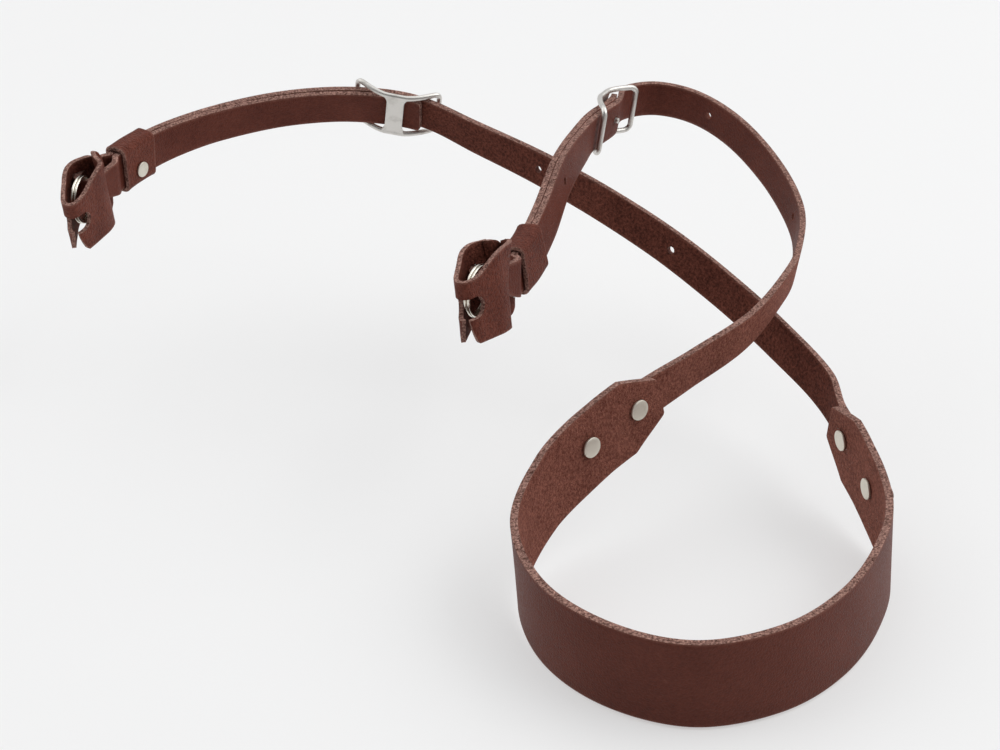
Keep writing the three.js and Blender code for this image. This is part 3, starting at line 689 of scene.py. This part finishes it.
def loop_sections(axis):
    slope = lambda p: (half_gap(p + 0.1) - half_gap(p - 0.1)) / 0.2
    out = even_steps(0.4, axis.wire, 0.7)
    main = [(axis.beside(p, -half_gap(p), -slope(p)), p) for p in out]
    back = [(axis.beside(p, half_gap(p), slope(p)).reversed(), p) for p in reversed(out)]
    bend = []
    for degrees in range(-80, 81, 8):
        turn = math.radians(degrees)
        p = axis.wire + LOOP["half_gap"] * math.cos(turn)
        here = axis.beside(p, LOOP["half_gap"] * math.sin(turn))
        along = here.along * -math.sin(turn) + here.face * (axis.side * math.cos(turn))
        bend.append((Section(here.place, along, here.across), p))
    return main + bend + back


for end in (RIGHT, LEFT):
    end["axis"] = LoopAxis(end)
    print(end["name"], "loop:", round(end["axis"].wire, 1), "mm from mouth to wire")


# %% Cut and lay a strap
def strap_half(from_tip):
    corner = max(0.0, 1.5 - from_tip)
    return STRAP["width"] / 2 - (1.5 - math.sqrt(max(0.0, 2.25 - corner ** 2)))


def strap_piece(end):
    route, axis, seed = end["route"], end["axis"], 3 if end["side"] > 0 else 5
    tip = route.length - end["back"]
    start_stops = [0, 0.1, 0.3, 0.6, 1.0, 1.6]
    main_stops = start_stops + even_steps(3, route.length, 1.6)
    sections = [route.section(s) for s in main_stops]
    edges = [(-strap_half(s) + wobble(s, seed, 0.12), strap_half(s) + wobble(s, seed + 1, 0.14)) for s in main_stops]
    for section, p in loop_sections(axis):
        sections.append(section)
        edges.append((-neck_half(p), neck_half(p)))
    back_stops = [tip + s for s in start_stops] + even_steps(tip + 3, route.length, 1.6)
    for s in reversed(back_stops):
        sections.append(route.section(s).moved(0, end["side"] * LAYER_STEP).reversed())
        half = strap_half(s - tip)
        edges.append((-half + wobble(s, seed + 2, 0.2), half + wobble(s, seed + 3, 0.2)))
    # The right strap's flesh face takes the paler flesh copy, which is partly painted light from the right-hand lamp.
    looks = LEATHERS if end["side"] < 0 else (flesh_painted_light_look, grain_look, edge_look)
    piece = lay_strip(f"strap_{end['name']}_leather", sections, edges, 8, looks)
    thicken(piece, STRAP["thickness"], bevel=0.28)
    return piece


def rivet_sections(end):
    from_start = end["name"] == "right"
    found = []
    for s in RIVET_FROM_END:
        under = pad_route.section(s if from_start else pad_route.length - s)
        found.append(under.moved(RIVET_RAISED, HALF_LAYERS))
    return found


for end in (RIGHT, LEFT):
    strap = strap_piece(end)
    route = end["route"]
    tools = [punch(route.section(route.length - b), 1.3) for b in (end["prong"], *end["holes"])]
    tools += [punch(section, 1.5, 8.0) for section in rivet_sections(end)]
    cut_with(strap, tools)
    smooth_finish(strap)
    hand_over(strap, f"strap_{end['name']}")

# %% [markdown]
# ## The keepers
# A keeper is a short band of 1.4 mm leather that holds the two layers together at the loop. It is pressed round
# while damp, so its corners are full curves and its mouth flares a little. The band is a grid wrapped into a ring
# and closed along its seam, then thickened and given bevelled edges.

# %% Keepers
KEEPER = {"length": 15.6, "wall": 1.4, "corner": 2.2, "rivet_drop": 2.5}


def doubled_middle(end, s):
    main = end["route"].section(s)
    return Section(main.at(0, end["side"] * HALF_LAYERS), main.along * end["side"], main.across)


def rounded_ring(half_across, half_face, corner, count):
    """Evenly spaced points round a rectangle with rounded corners, as (across, face)."""
    straight_a, straight_f = 2 * (half_across - corner), 2 * (half_face - corner)
    arc = corner * math.pi / 2
    total = 2 * straight_a + 2 * straight_f + 4 * arc
    points = []
    for i in range(count):
        d = total * i / count
        x, y, heading = -half_across + corner, half_face, 0
        for run, turn in ((straight_a, 0), (0, arc), (straight_f, 0), (0, arc)) * 2:
            hx, hy = math.cos(heading), math.sin(heading)
            if turn:
                step = min(d, turn)
                angle = step / corner
                cx, cy = x + hy * corner, y - hx * corner
                swing = heading + math.pi / 2 - angle
                nx, ny = cx + corner * math.cos(swing), cy + corner * math.sin(swing)
                if d <= turn:
                    x, y, d = nx, ny, -1
                    break
                x, y, heading, d = nx, ny, heading - math.pi / 2, d - turn
            else:
                if d <= run:
                    x, y, d = x + hx * d, y + hy * d, -1
                    break
                x, y, d = x + hx * run, y + hy * run, d - run
        points.append((x, y))
    return points


def keeper_piece(end):
    to = end["route"].length - end["keeper"]
    middle = STRAP["width"] / 2 + GAP + KEEPER["wall"] / 2
    face = STRAP["thickness"] + 1.5 * GAP + KEEPER["wall"] / 2
    count, rows = 60, 12
    bpy.ops.object.select_all(action="DESELECT")
    bpy.ops.mesh.primitive_grid_add(x_subdivisions=count, y_subdivisions=rows, size=1)
    obj = bpy.context.object
    obj.name = obj.data.name = f"keeper_{end['name']}_leather"
    edge = obj.data.attributes.new("edge", "FLOAT", "POINT")
    for i, vertex in enumerate(obj.data.vertices):
        u, v = round((vertex.co.x + 0.5) * count) % count, vertex.co.y + 0.5
        s = doubled_middle(end, to - KEEPER["length"] * (1 - v))
        rim = min(v, 1 - v) * KEEPER["length"]
        flare = 0.18 * math.exp(-rim / 1.2)
        ring = rounded_ring(middle + flare, face + flare, KEEPER["corner"] - KEEPER["wall"] / 2 + flare, count)
        edge.data[i].value = rim * MM
        vertex.co = s.at(*ring[u]) * MM
    for material in (guard_look, flesh_look, edge_look):
        obj.data.materials.append(material)
    thicken(obj, KEEPER["wall"], bevel=0.25, closed=True)
    return obj


def keeper_rivet_section(end):
    to = end["route"].length - end["keeper"]
    middle = doubled_middle(end, to - KEEPER["length"] / 2)
    outer = STRAP["thickness"] + 1.5 * GAP + KEEPER["wall"] / 2
    return middle.moved(-KEEPER["rivet_drop"], outer)


for end in (RIGHT, LEFT):
    keeper = keeper_piece(end)
    cut_with(keeper, [punch(keeper_rivet_section(end), 1.5, 2.6)])
    smooth_finish(keeper, 50)
    hand_over(keeper, f"keeper_{end['name']}")

# %% [markdown]
# ## The ring guards
# A guard is a patch of leather folded round the ring, so that the metal can't scratch what the strap hangs on.
# Its two halves meet behind the ring, between the strap's layers, which come through a slit in each half. Below
# the fold a rounded slot lets the ring out. The patch is laid as a grid whose rows part round the slot.

# %% The guard's bend and outline
GUARD = {"thickness": 1.4, "rest": 0.87, "fold_top": 7.0, "left_rise": (0, 22), "right_rise": (4, 16),
         "bottom": -12.3, "sink": 0.12, "lobe": 6.0, "ease_from": 4.0, "notch": (1.0, 3.0), "slot": (-1.6, 3.3, 6.6)}
GUARD_BEND = [
    (-6.5, 0.95, 0.95), (-4.5, 2.2, 2.2), (-2, 4.6, 4.6), (0.5, 5.7, 5.7), (4, 5.4, 5.5), (8, 4.4, 4.3),
    (12, 3.4, 3.1), (15, 2.5, 2.0), (16.4, 1.4, 1.0), (16.8, 0, 0),
]


def rounded_off(from_edge, radius):
    inside = min(radius, max(0.0, radius - from_edge))
    return radius - math.sqrt(radius * radius - inside * inside)


def spline_2d(points, per_span=40):
    """A uniform Catmull-Rom line through flat points, with its distances."""
    pts = [np.array(p, float) for p in points]
    line = []
    for i in range(len(pts) - 1):
        p1, p2 = pts[i], pts[i + 1]
        p0 = pts[i - 1] if i > 0 else pts[0]
        p3 = pts[i + 2] if i + 2 < len(pts) else pts[-1]
        for w in np.linspace(0, 1, per_span, endpoint=False):
            m1, m2 = (p2 - p0) / 2, (p3 - p1) / 2
            c2, c3 = -3 * p1 + 3 * p2 - 2 * m1 - m2, 2 * p1 - 2 * p2 + m1 + m2
            line.append(p1 + m1 * w + c2 * w * w + c3 * w ** 3)
    line.append(pts[-1])
    line = np.array(line)
    distance = np.concatenate([[0.0], np.cumsum(np.linalg.norm(np.diff(line, axis=0), axis=1))])
    return line, distance


def guard_half(end, side):
    axis, guard = end["axis"], end["guard"]
    bend_from = GUARD["ease_from"]
    eased = lambda a: a if side > 0 else max(a, bend_from) + min(0, a - bend_from) * guard["ease"]
    rows = [(guard["tip"], GUARD["rest"], GUARD["rest"])] + [(eased(a), left, right) for a, left, right in GUARD_BEND]
    line, distance = spline_2d([(a, left if side > 0 else right) for a, left, right in rows])
    length = float(distance[-1])
    stops = even_steps(0, length - 8, 0.7)[:-1] + even_steps(length - 8, length, 0.4)
    found = []
    for s in stops:
        x, y = (float(np.interp(s, distance, line[:, k])) for k in (0, 1))
        ahead = [float(np.interp(min(s + 0.05, length), distance, line[:, k])) for k in (0, 1)]
        behind = [float(np.interp(max(s - 0.05, 0), distance, line[:, k])) for k in (0, 1)]
        run = Vector((ahead[0] - behind[0], ahead[1] - behind[1])).normalized()
        base = axis.section(axis.wire + x)
        place = base.at(0, side * y)
        place.z += axis.wire_place.z - base.place.z - guard["fall"] * x
        forward = Vector((base.along.x, base.along.y, -guard["fall"]))
        along = forward * run.x + base.face * (side * run.y)
        across = base.across + base.along * guard["fall"]
        found.append({"section": Section(place, along, across), "fold": length - s, "length": length, "side": side})
    return found


def guard_columns(end):
    left = guard_half(end, 1)
    right = [dict(c) for c in guard_half(end, -1)[:-1]][::-1]
    for c in right:
        c["section"] = c["section"].reversed()
        c["section"] = Section(c["section"].place, c["section"].along, c["section"].across)
    return left + right


def guard_heights(c, guard):
    """(bottom, slot bottom, slot top, top) of one column of the patch."""
    rise_from, rise_to = GUARD["left_rise"] if c["side"] > 0 else GUARD["right_rise"]
    rise = smoothstep((c["fold"] - rise_from) / (rise_to - rise_from))
    horn = guard["left"] if c["side"] > 0 else guard["right"]
    top = mix(GUARD["fold_top"], horn, rise) - rounded_off(c["length"] - c["fold"], guard["corner"])
    centre, radius, reach = GUARD["slot"]
    past = max(0.0, c["fold"] - (reach - radius))
    half = math.sqrt(max(0.0, radius ** 2 - past ** 2)) if c["fold"] < reach else 0.0
    lobe = min(1.0, max(0.0, (c["fold"] - GUARD["notch"][0]) / (GUARD["notch"][1] - GUARD["notch"][0])))
    bottom = mix(centre - radius, GUARD["bottom"] - GUARD["sink"] * c["fold"], math.sqrt(lobe))
    bottom += rounded_off(c["length"] - c["fold"], GUARD["lobe"])
    bottom = min(bottom, centre - half)
    return bottom, centre - half, centre + half, top


def guard_piece(end):
    columns = guard_columns(end)
    low_rows, high_rows = 12, 12
    rows = low_rows + high_rows + 1
    bpy.ops.object.select_all(action="DESELECT")
    bpy.ops.mesh.primitive_grid_add(x_subdivisions=len(columns) - 1, y_subdivisions=rows, size=1)
    obj = bpy.context.object
    obj.name = obj.data.name = f"ring_guard_{end['name']}_leather"
    edge = obj.data.attributes.new("edge", "FLOAT", "POINT")
    heights = [guard_heights(c, end["guard"]) for c in columns]
    for i, vertex in enumerate(obj.data.vertices):
        u = round((vertex.co.x + 0.5) * (len(columns) - 1))
        v = round((vertex.co.y + 0.5) * rows)
        bottom, slot_low, slot_high, top = heights[u]
        if v <= low_rows:
            h = mix(bottom, slot_low, v / low_rows)
        else:
            h = mix(slot_high, top, (v - low_rows - 1) / high_rows)
        rim = min(top - h, columns[u]["length"] - columns[u]["fold"])
        edge.data[i].value = max(0.0, min(rim, h - bottom)) * MM
        crumple = 0.12 * noise.noise(Vector((u / 9.0, h / 5.0, end["side"] * 3.1)))
        vertex.co = columns[u]["section"].at(h, crumple) * MM
    open_slot(obj, columns, heights, low_rows, rows)
    for material in (guard_look, flesh_look, edge_look):
        obj.data.materials.append(material)
    return obj


def open_slot(obj, columns, heights, low_rows, rows):
    """Takes out the faces between the two parted rows, and below the band where the patch has no lobe."""
    count = len(columns) - 1
    doomed = []
    for face in obj.data.polygons:
        cells = [(round(obj.data.vertices[v].index % (count + 1)), obj.data.vertices[v].index // (count + 1))
                 for v in face.vertices]
        columns_here = {c[0] for c in cells}
        rows_here = {c[1] for c in cells}
        in_slot = any(heights[u][2] - heights[u][1] > 0.01 for u in columns_here)
        flat = all(heights[u][1] - heights[u][0] < 0.02 for u in columns_here)
        if (min(rows_here) == low_rows and in_slot) or (max(rows_here) <= low_rows and flat):
            doomed.append(face.index)
    pick_only(obj)
    for face in obj.data.polygons:
        face.select = face.index in doomed
    for vertex in obj.data.vertices:
        vertex.select = False
    for line in obj.data.edges:
        line.select = False
    for index in doomed:
        obj.data.polygons[index].select = True
    bpy.ops.object.mode_set(mode="EDIT")
    bpy.ops.mesh.select_mode(type="FACE")
    bpy.ops.mesh.delete(type="FACE")
    bpy.ops.mesh.select_all(action="SELECT")
    bpy.ops.mesh.remove_doubles(threshold=0.00003)
    bpy.ops.mesh.select_mode(type="VERT")
    bpy.ops.object.mode_set(mode="OBJECT")


def slit_cutter(end):
    """The strap's neck, a little fatter: what the slits have to let through."""
    axis = end["axis"]
    inside = [(s, p) for s, p in loop_sections(axis) if p > 1]
    edges = [(-neck_half(p) - GAP, neck_half(p) + GAP) for s, p in inside]
    tool = lay_strip("slit", [s for s, p in inside], edges, 4, (edge_look,))
    apply_modifier(tool, "SOLIDIFY", thickness=(STRAP["thickness"] + 2 * GAP) * MM, offset=0)
    return tool


for end in (RIGHT, LEFT):
    guard = guard_piece(end)
    thicken(guard, GUARD["thickness"], bevel=0.3)
    cut_with(guard, [slit_cutter(end)])
    smooth_finish(guard, 50)
    hand_over(guard, f"ring_guard_{end['name']}")

# %% [markdown]
# ## The split rings
# A split ring is spring wire wound twice and pressed flat against itself. The Screw modifier winds a small circle
# round an axis just like the winding machine does. Filling the two ends closes the wire.

# %% Split rings
RING = {"radius": 7.3, "wire": 1.0, "pitch": 1.1, "turns": 2, "setback": 2.0}


def ring_piece(end):
    bpy.ops.object.select_all(action="DESELECT")
    bpy.ops.mesh.primitive_circle_add(vertices=16, radius=RING["wire"] / 2 * MM, location=(RING["radius"] * MM, 0, 0),
                                      rotation=(math.pi / 2, 0, 0))
    obj = bpy.context.object
    obj.name = obj.data.name = f"split_ring_{end['name']}_wire"
    pick_only(obj)
    bpy.ops.object.transform_apply(location=True, rotation=True, scale=True)
    apply_modifier(obj, "SCREW", angle=2 * math.pi * RING["turns"], steps=72 * RING["turns"],
                   render_steps=72 * RING["turns"], screw_offset=RING["pitch"] * RING["turns"] * MM, axis="Z")
    pick_only(obj)
    bpy.ops.object.mode_set(mode="EDIT")
    bpy.ops.mesh.select_all(action="DESELECT")
    bpy.ops.mesh.select_mode(type="EDGE")
    bpy.ops.mesh.select_non_manifold()
    bpy.ops.mesh.edge_face_add()
    bpy.ops.mesh.select_all(action="SELECT")
    bpy.ops.mesh.normals_make_consistent(inside=False)
    bpy.ops.object.mode_set(mode="OBJECT")
    heading, pitch = (math.radians(a) for a in end["ring"])
    level = Vector((math.cos(heading), math.sin(heading), 0))
    centre = end["wire"] + level * (RING["radius"] * math.cos(pitch) - RING["setback"])
    centre.z -= RING["radius"] * math.sin(pitch)
    sideways = UP.cross(level)
    middle = centre - sideways * (RING["pitch"] * RING["turns"] / 2)
    turn = Matrix((
        (*(-UP)[:], 0), (*level[:], 0), (*(-UP).cross(level)[:], 0), (*(middle * MM)[:], 1),
    )).transposed()
    if turn.to_3x3().col[2].dot(sideways) < 0:
        turn.translation = (centre + sideways * (RING["pitch"] * RING["turns"] / 2)) * MM
    obj.data.transform(turn)
    obj.data.materials.append(ring_metal)
    return obj


for end in (RIGHT, LEFT):
    ring = ring_piece(end)
    smooth_finish(ring, 60)
    hand_over(ring, f"split_ring_{end['name']}")

# %% [markdown]
# ## The slider buckles
# Each buckle is a small casting: a frame of round bar, bowed over the strap, with a wide flat plate across the
# middle and a blunt prong that sits in the strap's hole. The frame is a closed curve with a round bevel. The plate
# and prong are meshes. A fine voxel remesh melts them together, as the fillets of a casting do.

# %% Buckles
BUCKLE = {"length": 31.0, "spacing": 16.2, "rail": 0.98, "bar": 0.95, "flat": 3.0, "clearance": 0.7,
          "plate": 6.2, "plate_thickness": 1.3, "fillet": 1.8, "prong": 0.95, "reach": 1.2}


def buckle_frame_points(plate_height, bar_height):
    reach, rail, corner = BUCKLE["length"] / 2 - BUCKLE["bar"], BUCKLE["spacing"] / 2, 2.2
    height = lambda x: mix(plate_height, bar_height,
                           max(0.0, (abs(x) - BUCKLE["flat"]) / (reach - BUCKLE["flat"])) ** 1.5)
    side = [(x, -rail) for x in even_steps(-reach + corner, reach - corner, 0.8)]
    side += [(reach - corner + corner * math.sin(a), -rail + corner - corner * math.cos(a))
             for a in np.linspace(0, math.pi / 2, 8)[1:]]
    side += [(reach, y) for y in even_steps(-rail + corner, rail - corner, 1.2)[1:-1]]
    side += [(reach - corner + corner * math.cos(a), rail - corner + corner * math.sin(a))
             for a in np.linspace(0, math.pi / 2, 8)[:-1]]
    half = side
    return [Vector((x, y, height(x))) for x, y in half + [(-x, -y) for x, y in half]]


def buckle_piece(end):
    s = end["route"].length - end["prong"]
    place = doubled_middle(end, s)
    reach = BUCKLE["length"] / 2 - BUCKLE["bar"]
    sag = min((doubled_middle(end, s + step).place - place.place).dot(place.face) for step in (-reach, reach))
    half_strap = STRAP["thickness"] + GAP / 2
    bar_height = sag - (half_strap + BUCKLE["clearance"] + BUCKLE["bar"])
    plate_height = half_strap + BUCKLE["clearance"] + BUCKLE["plate_thickness"] / 2
    points = buckle_frame_points(plate_height, bar_height)
    curve = bpy.data.curves.new("frame_bar", "CURVE")
    curve.dimensions, curve.bevel_depth, curve.bevel_resolution = "3D", BUCKLE["rail"] * MM, 4
    spline = curve.splines.new("POLY")
    spline.points.add(len(points) - 1)
    for point, place_of in zip(spline.points, points):
        point.co = (*(place_of * MM)[:], 1)
    spline.use_cyclic_u = True
    bar = bpy.data.objects.new("frame_bar", curve)
    bpy.context.collection.objects.link(bar)
    pick_only(bar)
    bpy.ops.object.convert(target="MESH")
    bar = bpy.context.object
    plate = buckle_plate(plate_height)
    prong_length = plate_height + half_strap + BUCKLE["reach"]
    bpy.ops.object.select_all(action="DESELECT")
    bpy.ops.mesh.primitive_cylinder_add(vertices=24, radius=BUCKLE["prong"] * MM, depth=prong_length * MM,
                                        location=(0, 0, (plate_height - prong_length / 2) * MM))
    prong = bpy.context.object
    for piece in (bar, plate, prong):
        piece.select_set(True)
    bpy.context.view_layer.objects.active = bar
    bpy.ops.object.join()
    obj = bpy.context.object
    pick_only(obj)
    bpy.ops.object.transform_apply(location=True, rotation=True, scale=True)
    apply_modifier(obj, "REMESH", mode="VOXEL", voxel_size=0.22 * MM, adaptivity=0.0)
    apply_modifier(obj, "SMOOTH", factor=0.5, iterations=4)
    obj.name = obj.data.name = f"buckle_{end['name']}_cast"
    obj.data.materials.clear()
    obj.data.materials.append(buckle_metal)
    turn = Matrix.Rotation(math.radians(end["turn"]), 3, place.face)
    place_on(obj, Section(place.place, turn @ place.along, turn @ place.across))
    return obj


def buckle_plate(height):
    """The plate's outline is widened where it flows into the rails, then given its thickness."""
    rail, half = BUCKLE["spacing"] / 2, BUCKLE["plate"] / 2
    rows = 24
    bpy.ops.object.select_all(action="DESELECT")
    bpy.ops.mesh.primitive_grid_add(x_subdivisions=12, y_subdivisions=rows, size=1)
    obj = bpy.context.object
    for vertex in obj.data.vertices:
        y = vertex.co.y * 2 * rail
        flare = max(0.0, BUCKLE["fillet"] * 1.6 - (rail - abs(y))) / (BUCKLE["fillet"] * 1.6)
        x = vertex.co.x * 2 * (half + BUCKLE["fillet"] * flare ** 2)
        vertex.co = Vector((x, y, height)) * MM
    apply_modifier(obj, "SOLIDIFY", thickness=BUCKLE["plate_thickness"] * MM, offset=0)
    return obj


for end in (RIGHT, LEFT):
    buckle = buckle_piece(end)
    smooth_finish(buckle, 60)
    hand_over(buckle, f"buckle_{end['name']}")

# %% [markdown]
# ## Rivets
# A pad rivet is a tube with a cap on each side. The cap is almost flat, with a bright bevelled rim. Each cap is made
# from a cylinder: its top is inset and raised a little, and its rim is bevelled. Every rivet is built anew and placed
# where it belongs.

# %% Rivets
RIVET = {"cap": 3.1, "height": 0.8, "shaft": 1.2, "keeper_cap": 2.6, "keeper_height": 0.7}


def cap(radius, height, base):
    """A cap that sits on the plane Z = base, facing up."""
    bpy.ops.object.select_all(action="DESELECT")
    bpy.ops.mesh.primitive_cylinder_add(vertices=48, radius=radius * MM, depth=height * 0.75 * MM,
                                        location=(0, 0, (base + height * 0.375) * MM))
    obj = bpy.context.object
    bpy.ops.object.transform_apply(location=True, rotation=True, scale=True)
    for face in obj.data.polygons:
        face.select = face.normal.z > 0.9
    bpy.ops.object.mode_set(mode="EDIT")
    bpy.ops.mesh.select_mode(type="FACE")
    bpy.ops.mesh.inset(thickness=0.55 * MM, depth=0.0)
    bpy.ops.transform.translate(value=(0, 0, height * 0.2 * MM))
    bpy.ops.mesh.inset(thickness=radius * 0.4 * MM, depth=0.0)
    bpy.ops.transform.translate(value=(0, 0, height * 0.05 * MM))
    bpy.ops.object.mode_set(mode="OBJECT")
    apply_modifier(obj, "BEVEL", width=0.12 * MM, segments=3, limit_method="ANGLE", angle_limit=math.radians(25))
    return obj


def shaft(radius, low, high):
    bpy.ops.object.select_all(action="DESELECT")
    bpy.ops.mesh.primitive_cylinder_add(vertices=24, radius=radius * MM, depth=(high - low) * MM,
                                        location=(0, 0, (low + high) / 2 * MM))
    bpy.ops.object.transform_apply(location=True, rotation=True, scale=True)
    return bpy.context.object


def joined(name, parts, look):
    bpy.ops.object.select_all(action="DESELECT")
    for part in parts:
        part.select_set(True)
    bpy.context.view_layer.objects.active = parts[0]
    bpy.ops.object.join()
    obj = bpy.context.object
    obj.name = obj.data.name = name
    obj.data.materials.clear()
    obj.data.materials.append(look)
    smooth_finish(obj, 35)
    return obj


def pad_rivet(name):
    grip = (PAD["thickness"] + STRAP["thickness"] + 3 * GAP) / 2
    top = cap(RIVET["cap"], RIVET["height"], grip)
    bottom = cap(RIVET["cap"], RIVET["height"], grip)
    bottom.data.transform(Matrix.Rotation(math.pi, 4, "X"))
    return joined(name, [top, bottom, shaft(RIVET["shaft"], -grip - 0.1, grip + 0.1)], rivet_metal)


def keeper_rivet(name):
    seat = KEEPER["wall"] / 2 + GAP
    top = cap(RIVET["keeper_cap"], RIVET["keeper_height"], seat)
    return joined(name, [top, shaft(RIVET["shaft"], -KEEPER["wall"] / 2, seat + 0.1)], rivet_metal)


for end in (RIGHT, LEFT):
    for section, spot in zip(rivet_sections(end), ("outer", "inner")):
        rivet = pad_rivet(f"pad_rivet_{end['name']}_{spot}_cap")
        place_on(rivet, section)
        hand_over(rivet, f"pad_rivet_{end['name']}_{spot}")
    rivet = keeper_rivet(f"keeper_rivet_{end['name']}_cap")
    place_on(rivet, keeper_rivet_section(end))
    hand_over(rivet, f"keeper_rivet_{end['name']}")
